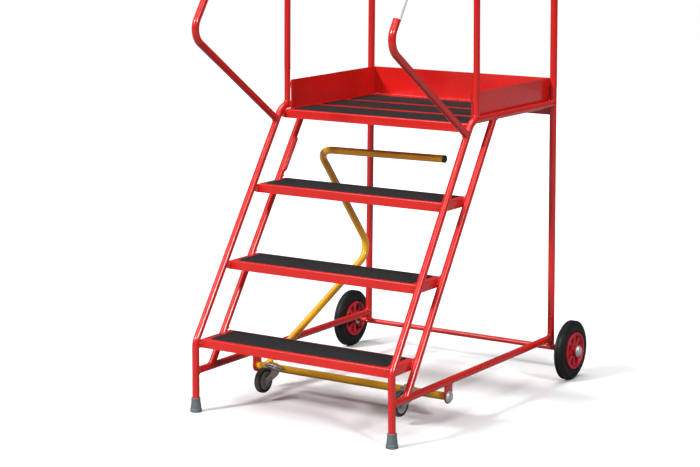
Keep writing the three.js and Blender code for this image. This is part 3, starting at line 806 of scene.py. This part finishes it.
def add_foot(name):
    """A rubber ferrule: a sleeve with a rolled lip, moulded ribs and a flared, ringed base."""
    low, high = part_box(f"foot_{name}")
    centre = Vector((box_centre(f"foot_{name}").x, box_centre(f"foot_{name}").y, low.z))
    base = (high.x - low.x) / 2
    profile = [(0, 0), (base - 0.0012, 0), (base, 0.0015), (base, 0.0048), (base - 0.001, 0.0058),
               (base - 0.0010, 0.0075), (base - 0.0002, 0.0085), (base - 0.0006, 0.0110),
               (base - 0.0024, 0.0130), (base - 0.0030, 0.0200), (0.0166, 0.0300), (0.0161, 0.0440),
               (0.0166, 0.0455), (0.0166, 0.0490), (0.0158, 0.0500), (TUBE_R + 0.0002, 0.0500),
               (TUBE_R + 0.0002, 0.0400), (0, 0.0400)]
    shells = Shells().rings(lathe_rings(softened(profile, 0.0007), centre, (0, 0, 1), 72))
    for k in range(12):
        a = math.tau * (k + 0.5) / 12
        outward = Vector((math.cos(a), math.sin(a), 0))
        across = Vector((-math.sin(a), math.cos(a), 0))
        rings = []
        for z, r, half in ((0.0125, 0.0178, 0.0010), (0.0150, 0.0187, 0.0016), (0.0210, 0.0184, 0.0016),
                           (0.0300, 0.0170, 0.0014), (0.0330, 0.0162, 0.0008)):
            middle = centre + Vector((0, 0, z))
            rings.append([middle + outward * (0.0130) - across * half, middle + outward * r - across * half,
                          middle + outward * (r + 0.0004), middle + outward * r + across * half,
                          middle + outward * (0.0130) + across * half])
        shells.rings(rings)
    foot = shells.piece(f"foot_{name}_rubber", FOOT, 50)
    settle(foot, "frame", "grey_rubber", f"foot_{name}")


# ------------------------------------------------------------------ rear wheels


def add_wheel(name, sign):
    body = f"rear_wheel_{name}"
    centre = box_centre(f"wheel_tyre_{name}")
    axis = Vector((1, 0, 0))
    half = box_size(f"wheel_tyre_{name}").x / 2
    outer = box_size(f"wheel_tyre_{name}").z / 2
    rim = box_size(f"wheel_hub_{name}").z / 2

    side = [(rim + 0.0002, 0.0100), (rim + 0.0006, half - 0.0022), (rim + 0.0040, half - 0.0008),
            (rim + 0.0055, half - 0.0018), (rim + 0.0120, half - 0.0004), (0.0900, half),
            (0.0950, half - 0.0006), (0.0957, half - 0.0016), (0.0985, half - 0.0018),
            (0.1030, half - 0.0042), (0.1060, 0.0118), (0.1064, 0.0112), (0.1094, 0.0104),
            (outer, 0.0092), (outer, 0.0036), (0.1094, 0.0022), (0.1072, 0.0014)]
    profile = [*side, *[(r, -x) for r, x in side[::-1]]]
    tyre = lathed(f"wheel_tyre_{name}_rubber", profile, centre, axis, TYRE, 120, closed=True, soft=0.0009)
    settle(tyre, body, "black_tyre", f"wheel_tyre_{name}")

    boss_r = 0.020
    boss = box_size(f"wheel_hub_{name}").x / 2
    lip = boss - 0.0075
    face = 0.0165
    side = [(0.0103, boss), (boss_r - 0.001, boss), (boss_r, boss - 0.001), (boss_r + 0.0006, face),
            (0.0585, face), (0.0595, lip - 0.0015), (0.0610, lip), (rim - 0.0015, lip), (rim, lip - 0.0020),
            (rim, 0.0098)]
    profile = [*side, *[(r, -x) for r, x in side[::-1]]]
    hub = lathed(f"wheel_hub_{name}_moulding", profile, centre, axis, HUB, 96, closed=True, soft=0.0012)
    pockets = Shells()
    for facing in (-1, 1):
        for k in range(8):
            pockets.rings(wheel_pocket(centre, facing, math.tau * (k + 0.5) / 8, face))
    subtract(hub, pockets.piece("pockets", HUB))
    shade(hub, 35)
    settle(hub, body, "crimson_plastic", f"wheel_hub_{name}")
    add_axle_cap(name, sign)
    add_axle_washer(name, sign, centre, boss)


def wheel_pocket(centre, facing, angle, face):
    """A petal-shaped pocket between two spokes, cut from the face to the web."""
    inner, outer_r, web = 0.0262, 0.0565, 0.0035
    rings = []
    for depth, shrink in ((face + 0.002, 0), (web + 0.002, 0.0010), (web, 0.0024)):
        ring = []
        for k in range(24):
            a = math.tau * k / 24
            along = (inner + outer_r) / 2 - math.cos(a) * ((outer_r - inner) / 2 - shrink)
            width = (0.30 * along - 0.0022 - shrink) * abs(math.sin(a)) ** 0.7
            sideways = math.copysign(width, math.sin(a)) if abs(math.sin(a)) > 1e-6 else 0
            y = math.cos(angle) * along - math.sin(angle) * sideways
            z = math.sin(angle) * along + math.cos(angle) * sideways
            ring.append(centre + Vector((facing * depth, y, z)))
        rings.append(ring)
    return rings


def add_axle_cap(name, sign):
    """A domed push-on cap with a rolled edge."""
    low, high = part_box(f"axle_cap_{name}")
    start = low.x if sign > 0 else high.x
    middle = box_centre(f"axle_cap_{name}")
    centre = Vector((start, middle.y, middle.z))
    r = (high.z - low.z) / 2
    depth = high.x - low.x
    profile = [(0, 0.0008), (r * 0.7, 0.0008), (r * 0.98, 0.0), (r, 0.0010), (r * 0.985, 0.0030),
               (r * 0.86, 0.0036), (r * 0.84, 0.0052), (r * 0.76, depth - 0.0020),
               (r * 0.50, depth - 0.0006), (0, depth)]
    cap = lathed(f"axle_cap_{name}_pressing", profile, centre, (sign, 0, 0), ZINC, 56, soft=0.0010)
    settle(cap, "frame", "bright_zinc", f"axle_cap_{name}")


def add_axle_washer(name, sign, centre, boss):
    """A plain washer and a split pin on the axle, on the frame side of the wheel."""
    place = centre - Vector((sign * (boss + 0.0004), 0, 0))
    profile = [(0.0102, 0), (0.0185, 0), (0.0185, -0.0022), (0.0102, -0.0022)]
    washer = lathed(f"axle_washer_{name}", profile, place, (sign, 0, 0), ZINC, 48, closed=True, soft=0.0004)
    settle(washer, "frame", "bright_zinc")
    pin_place = place - Vector((sign * 0.0052, 0, 0))
    pin = Shells()
    pin.rings(tube_rings([pin_place + Vector((0, 0, h)) for h in (-0.017, 0.0, 0.0145)], 0.0015, 16))
    eye = [pin_place + Vector((0, math.sin(a) * 0.0032, 0.0170 - math.cos(a) * 0.0032))
           for a in (math.tau * k / 20 for k in range(20))]
    pin.rings([circle(p, u, v, 0.0011, 10) for p, (u, v) in zip(eye, frames_along(eye, True))], closed=True)
    settle(pin.piece(f"split_pin_{name}", ZINC), "frame", "bright_zinc")


# ------------------------------------------------------------------ lever and castor bar

JOINTS = {j["name"]: j for j in frame["joints"]}
PIVOT = Vector(JOINTS["lever_hinge"]["pos_m"])
LEVER_R = box_size("castor_bar").z / 2
LEVER_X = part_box("lever_tube")[0].x + LEVER_R
LEVER_CORNERS = [PIVOT + Vector((LEVER_X, 0, 0)), Vector((LEVER_X, PIVOT.y + 0.6945, 0.4045)),
                 Vector((LEVER_X, PIVOT.y + 0.3375, 0.839)), Vector((0.171, PIVOT.y + 0.3445, 0.845))]
LEVER_BEND_R = 0.060
BRACKET_BORE_R = 0.01405
CATCH_HALF_WIDTH = 0.007


def add_brackets(welds):
    for name, sign in SIDES.items():
        low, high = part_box(f"lever_bracket_{name}")
        r = (high.y - low.y) / 2
        outline = [(r, high.z - PIVOT.z), (-r, high.z - PIVOT.z)]
        outline += [(-r * math.cos(math.pi * k / 24), -r * math.sin(math.pi * k / 24)) for k in range(25)]
        rings = [[Vector((x, PIVOT.y + y, PIVOT.z + z)) for y, z in outline] for x in (low.x, high.x)]
        plate = Shells().rings(rings).piece(f"lever_bracket_{name}_plate", RED)
        middle = [Vector((x, PIVOT.y, PIVOT.z)) for x in (low.x - 0.01, high.x + 0.01)]
        subtract(plate, Shells().rings(tube_rings(middle, BRACKET_BORE_R, 48)).piece("hole", RED))
        bevel(plate, 0.0007)
        shade(plate, 40)
        settle(plate, "frame", "red_enamel", f"lever_bracket_{name}")
        top = high.z - 0.0003
        for x in (low.x - 0.0008, high.x + 0.0008):
            straight_bead(welds, Vector((x, low.y + 0.002, top)), Vector((x, high.y - 0.002, top)), 0.0026)
        add_pivot_cap(name, sign)


def add_pivot_cap(name, sign):
    low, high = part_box(f"pivot_cap_{name}")
    start = low.x if sign > 0 else high.x
    r = (high.z - low.z) / 2
    depth = high.x - low.x
    profile = [(0, 0.0012), (r * 0.70, 0.0010), (r * 0.99, 0.0), (r, 0.0009), (r * 0.99, 0.0026),
               (r * 0.90, 0.0036), (r * 0.86, 0.0042), (r * 0.72, depth - 0.0018),
               (r * 0.42, depth - 0.0004), (0, depth)]
    centre = Vector((start, PIVOT.y, PIVOT.z))
    cap = lathed(f"pivot_cap_{name}_pressing", profile, centre, (sign, 0, 0), ZINC, 64, soft=0.0010)
    settle(cap, "lever", "bright_zinc", f"pivot_cap_{name}")


def add_lever():
    low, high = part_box("castor_bar")
    bar_ends = [Vector((low.x, PIVOT.y, PIVOT.z)), Vector((high.x, PIVOT.y, PIVOT.z))]
    bar = tube("castor_bar_tube", bar_ends, LEVER_R, material=YELLOW)
    settle(bar, "lever", "yellow_enamel", "castor_bar")

    corners = list(LEVER_CORNERS)
    corners[0] = short_of(corners[1], corners[0], LEVER_R - TUCK)
    lever = tube("lever_tube_bent", corners, LEVER_R, LEVER_BEND_R, YELLOW)
    settle(lever, "lever", "yellow_enamel", "lever_tube")

    welds = Shells()
    joint_bead(welds, LEVER_CORNERS[1], LEVER_CORNERS[0], LEVER_R, *bar_ends, LEVER_R)
    for name in SIDES:
        add_castor(name, welds)
    settle(welds.piece("lever_welds", YELLOW), "lever", "yellow_enamel")

    along = (LEVER_CORNERS[3] - LEVER_CORNERS[2]).normalized()
    r = LEVER_R
    profile = [(0, -0.010), (r - 0.002, -0.010), (r - 0.002, 0.0), (r + 0.0004, 0.0), (r + 0.0006, 0.0012),
               (r + 0.0004, 0.0060), (r * 0.86, 0.0082), (r * 0.5, 0.0091), (0, 0.0094)]
    plug = lathed("lever_end_plug_cap", profile, LEVER_CORNERS[3], along, PLUG, 48, soft=0.0008)
    settle(plug, "lever", "black_plastic", "lever_end_plug")


def add_catch(welds):
    """The strip on the left rear stringer, with a weld at each end."""
    low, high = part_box("lever_catch")
    slope = Vector((0, STRINGER_RUN, 1)).normalized()
    across = Vector((0, 1, -STRINGER_RUN)).normalized()
    centre = (low + high) / 2
    half = (high.z - low.z) / 2 - CATCH_HALF_WIDTH * abs(across.z)
    half_length = half / slope.z
    along = slope + Vector((LEAN * slope.z, 0, 0))
    thickness = Vector((0.00225, 0, 0))
    rings = []
    for s, pinch in ((-1, 0.6), (-0.97, 1.0), (0.97, 1.0), (1, 0.6)):
        middle = centre + along * half_length * s
        edge = across * CATCH_HALF_WIDTH * pinch
        rings.append([middle - thickness - edge, middle + thickness - edge,
                      middle + thickness + edge, middle - thickness + edge])
    strip = Shells().rings(rings).piece("lever_catch_strip", RED)
    bevel(strip, 0.0008)
    settle(strip, "frame", "red_enamel", "lever_catch")
    for s in (-1, 1):
        end = centre - thickness * 0.8 + along * half_length * s
        edge = across * CATCH_HALF_WIDTH
        straight_bead(welds, end - edge, end + edge, 0.0036)
        for start in (end - edge, end + edge):
            straight_bead(welds, start, start - along * s * 0.020, 0.0022)


# ------------------------------------------------------------------ castors


def castor_frames(name):
    """The matrix from castor space (Z up the swivel axis, wheel trailing to -Y) and the wheel's middle."""
    swivel = JOINTS[f"castor_swivel_{name}"]
    up = Vector(swivel["axis"]).normalized()
    across = Vector((1, 0, 0))
    rear = up.cross(across)
    turn = Matrix((across, rear, up)).transposed().to_4x4()
    origin = Vector(swivel["pos_m"])
    return Matrix.Translation(origin) @ turn, Vector(JOINTS[f"castor_wheel_spin_{name}"]["pos_m"])


def moved(shells, matrix):
    shells.vertices = [matrix @ v for v in shells.vertices]
    return shells


PLATE_TOP = 0.0149                # above the middle of the swivel race
PLATE_THICKNESS = 0.005
PLATE_HALF_WIDTH = 0.020
RACE_BOTTOM = -0.002
AXLE_Y = -0.0354
AXLE_Z = -0.0585
HOUSING_R = 0.032
CROWN_R = 0.029
LEG_INSIDE = 0.0145
LEG_OUTSIDE = 0.0170


def add_castor(name, welds):
    matrix, wheel = castor_frames(name)
    to_castor = matrix.inverted()
    bar = to_castor @ Vector((matrix.translation.x, PIVOT.y, PIVOT.z))
    add_castor_arm(name, matrix, bar, welds)
    add_castor_race(name, matrix)
    add_castor_fork(name, matrix)
    add_castor_wheel(name, wheel)


def add_castor_arm(name, matrix, bar, welds):
    """The arm plate: square at the bar, round at the front, with a slightly rolled edge."""
    back = bar.y - LEVER_R + 0.003
    half = PLATE_HALF_WIDTH
    outline = [(half, back), (-half, back)]
    outline += [(-half * math.cos(math.pi * k / 28), -half * math.sin(math.pi * k / 28)) for k in range(29)]
    rings = [[Vector((x, y, z)) for x, y in outline] for z in (PLATE_TOP - PLATE_THICKNESS, PLATE_TOP)]
    plate = moved(Shells().rings(rings), matrix).piece(f"castor_arm_{name}", YELLOW)
    bevel(plate, 0.0010, 3)
    shade(plate, 40)
    settle(plate, "lever", "yellow_enamel", f"castor_plate_{name}")
    for z in (PLATE_TOP - 0.0004, PLATE_TOP - PLATE_THICKNESS + 0.0004):
        y = bar.y - math.sqrt(max(0, LEVER_R ** 2 - (z - bar.z) ** 2)) - 0.0004
        ends = [matrix @ Vector((x, y, z)) for x in (-half, half)]
        straight_bead(welds, *ends, 0.0024)

    nut = Shells()
    bottom = Vector((0, 0, PLATE_TOP + 0.0002))
    washer = [(0, 0), (0.0118, 0), (0.0118, 0.0016), (0, 0.0016)]
    hexagon = [(0, 0.0016), (0.0092, 0.0016), (0.0104, 0.0026), (0.0104, 0.0078), (0.0092, 0.0088), (0, 0.0088)]
    thread = [(0, 0.008), (0.0056, 0.008), (0.0056, 0.0095), (0.0048, 0.0102), (0, 0.0102)]
    for profile, sides in ((washer, 40), (hexagon, 6), (thread, 32)):
        nut.rings(lathe_rings(profile, bottom, (0, 0, 1), sides))
    nut_set = moved(nut, matrix).piece(f"castor_nut_{name}_set", ZINC, 25)
    settle(nut_set, "lever", "bright_zinc", f"castor_nut_{name}")


def add_castor_race(name, matrix):
    top = PLATE_TOP - PLATE_THICKNESS - 0.0001
    r = HOUSING_R
    profile = [(0, RACE_BOTTOM), (r - 0.0040, RACE_BOTTOM), (r - 0.0033, RACE_BOTTOM + 0.0004),
               (r - 0.0005, RACE_BOTTOM), (r, RACE_BOTTOM + 0.0010), (r, top - 0.0070),
               (r - 0.0015, top - 0.0046), (r - 0.0060, top - 0.0030), (0.0170, top - 0.0010),
               (0.0120, top), (0, top)]
    rings = lathe_rings(softened(profile, 0.0010), Vector((0, 0, 0)), (0, 0, 1), 72)
    race = moved(Shells().rings(rings), matrix).piece(f"castor_race_{name}", ZINC)
    settle(race, "lever", "bright_zinc", f"castor_housing_{name}")


def add_castor_fork(name, matrix):
    """A pressed fork: a domed crown with two legs that taper to the axle."""
    body = f"castor_fork_body_{name}"
    r = CROWN_R
    crown = [(0, -0.0110), (r - 0.0030, -0.0110), (r - 0.0008, -0.0095), (r, -0.0070), (r, -0.0045),
             (r - 0.0012, -0.0028), (0, -0.0028)]
    rings = lathe_rings(softened(crown, 0.0010), Vector((0, 0, 0)), (0, 0, 1), 72)
    fork = moved(Shells().rings(rings), matrix).piece(f"castor_crown_{name}", ZINC)

    outline = [(0.0220, -0.0040), (-0.0120, -0.0040), (-0.0215, -0.0170), (-0.0285, -0.0310)]
    radius = 0.0118
    for k in range(15):
        a = math.radians(168 + 150 * k / 14)
        outline.append((AXLE_Y + radius * math.cos(a), AXLE_Z + radius * math.sin(a)))
    outline += [(0.0020, -0.0400), (0.0180, -0.0240), (0.0225, -0.0130)]
    legs = Shells()
    for sign in SIDES.values():
        legs.rings([[Vector((sign * x, y, z)) for y, z in outline] for x in (LEG_INSIDE, LEG_OUTSIDE)])
    leg_piece = moved(legs, matrix).piece(f"castor_legs_{name}", ZINC)
    bevel(leg_piece, 0.0006)
    shade(leg_piece, 35)
    for obj in (fork, leg_piece):
        settle(obj, body, "bright_zinc")
    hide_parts(f"castor_fork_{name}")

    bolt = Shells()
    middle = Vector((0, AXLE_Y, AXLE_Z))
    washer = [(0, 0.0168), (0.0090, 0.0168), (0.0090, 0.0180), (0, 0.0180)]
    head = [(0, 0.0180), (0.0064, 0.0180), (0.0070, 0.0186), (0.0070, 0.0204), (0.0060, 0.0212), (0, 0.0212)]
    shank = [(0, -0.017), (0.004, -0.017), (0.004, 0.017), (0, 0.017)]
    for sign in SIDES.values():
        bolt.rings(lathe_rings(washer, middle, (sign, 0, 0), 36))
        bolt.rings(lathe_rings(head, middle, (sign, 0, 0), 6))
    bolt.rings(lathe_rings(shank, middle, (1, 0, 0), 24))
    bolt_piece = moved(bolt, matrix).piece(f"castor_bolt_{name}", ZINC, 25)
    settle(bolt_piece, body, "bright_zinc", f"castor_axle_{name}")


def add_castor_wheel(name, centre):
    body = f"castor_wheel_{name}"
    r = box_size(f"castor_tyre_{name}").z / 2
    half = box_size(f"castor_tyre_{name}").x / 2
    axis = (1, 0, 0)
    tread = [(0.0365, -half + 0.0004), (r - 0.0032, -half + 0.0006), (r - 0.0008, -half + 0.0042), (r, 0),
             (r - 0.0008, half - 0.0042), (r - 0.0032, half - 0.0006), (0.0365, half - 0.0004)]
    settle(lathed(f"castor_tread_{name}", tread, centre, axis, CASTOR_TREAD, 88, closed=True, soft=0.0012),
           body, "castor_tread", f"castor_tyre_{name}")
    ring = [(0.0329, -half + 0.0020), (0.0336, -half), (0.0398, -half + 0.0001), (0.0405, -half + 0.0008),
            (0.0405, -half + 0.0022), (0.0405, half - 0.0022), (0.0405, half - 0.0008), (0.0398, half - 0.0001),
            (0.0336, half), (0.0329, half - 0.0020)]
    settle(lathed(f"castor_sidewall_{name}", ring, centre, axis, CASTOR_SIDE, 88, closed=True, soft=0.0008),
           body, "castor_tread")
    core_side = [(0.0046, half + 0.0019), (0.0092, half + 0.0019), (0.0100, half + 0.0010),
                 (0.0104, 0.0070), (0.0270, 0.0062), (0.0282, half - 0.0014), (0.0330, half - 0.0012)]
    core = [*core_side, *[(a, -b) for a, b in core_side[::-1]]]
    piece = lathed(f"castor_core_{name}_moulding", core, centre, axis, CASTOR_CORE, 72, True, 0.0010)
    settle(piece, body, "grey_plastic", f"castor_core_{name}")


# ------------------------------------------------------------------ put it together


def add_floor():
    mesh = bpy.data.meshes.new("floor")
    reach = 9
    corners = [(-reach, -reach, 0), (reach, -reach, 0), (reach, reach, 0), (-reach, reach, 0)]
    mesh.from_pydata(corners, [], [(0, 1, 2, 3)])
    floor = bpy.data.objects.new("floor", mesh)
    floor.location.z = cad_box[0].z
    scene.collection.objects.link(floor)
    mesh.materials.append(pale_floor())


def add_object():
    welds = Shells()
    for name, sign in SIDES.items():
        add_side_frame(name, sign, welds)
        add_foot(name)
        add_wheel(name, sign)
    add_cross_tubes()
    add_post_plugs()
    for node in ("tread_tray_1", "tread_tray_2", "tread_tray_3", "platform_tray"):
        add_tray(node, welds)
    for node in sorted(n for n in frame["nodes"] if "_mat_" in n):
        mat(node)
    add_toe_board(welds)
    add_label()
    add_brackets(welds)
    add_catch(welds)
    settle(welds.piece("frame_welds", RED), "frame", "red_enamel")
    add_lever()


scene.view_settings.view_transform = "Standard"
add_camera()
add_world()
add_lights()
add_floor()
add_object()
